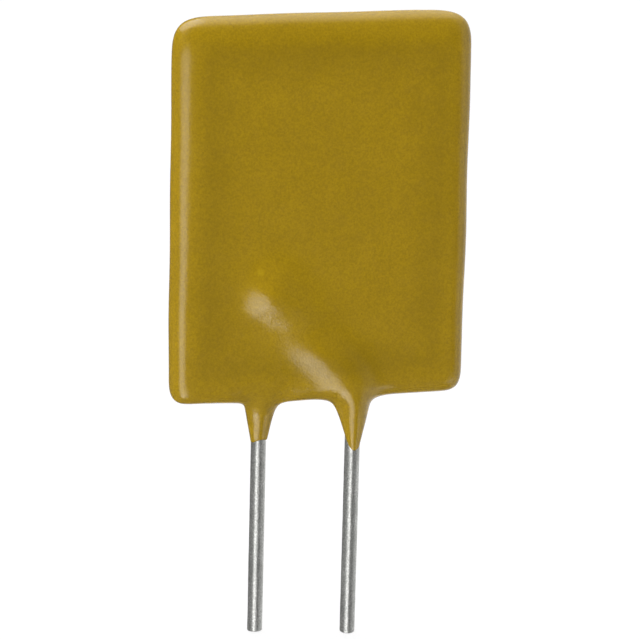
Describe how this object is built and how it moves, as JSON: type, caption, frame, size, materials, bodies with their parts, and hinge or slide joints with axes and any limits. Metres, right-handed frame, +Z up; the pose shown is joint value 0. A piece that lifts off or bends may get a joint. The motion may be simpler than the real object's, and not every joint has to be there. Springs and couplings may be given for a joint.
{
  "type": "resettable fuse",
  "caption": "Flat polymer resettable fuse dipped in mustard epoxy, with a slanted ridge over each wire and bare tinned leads for through-hole mounting.",
  "frame": {"origin": "midway between the leads, in the seating plane where the coating ends on the wires", "axes": "+Z up from the board along the leads, +X across the width, -Y out of the front face"},
  "size_m": [0.0162, 0.0028, 0.0341],
  "materials": {
    "coating": "satin dipped epoxy",
    "polymer": "matt, filled with carbon",
    "foil": "matt nickel foil",
    "tin": "dull tinned copper wire",
    "solder": "satin solder"
  },
  "bodies": {
    "root": {"epoxy_coating": "coating", "ptc_chip": "polymer", "front_electrode": "foil", "rear_electrode": "foil", "front_lead": "tin", "rear_lead": "tin", "front_solder": "solder", "rear_solder": "solder"}
  },
  "joints": []
}
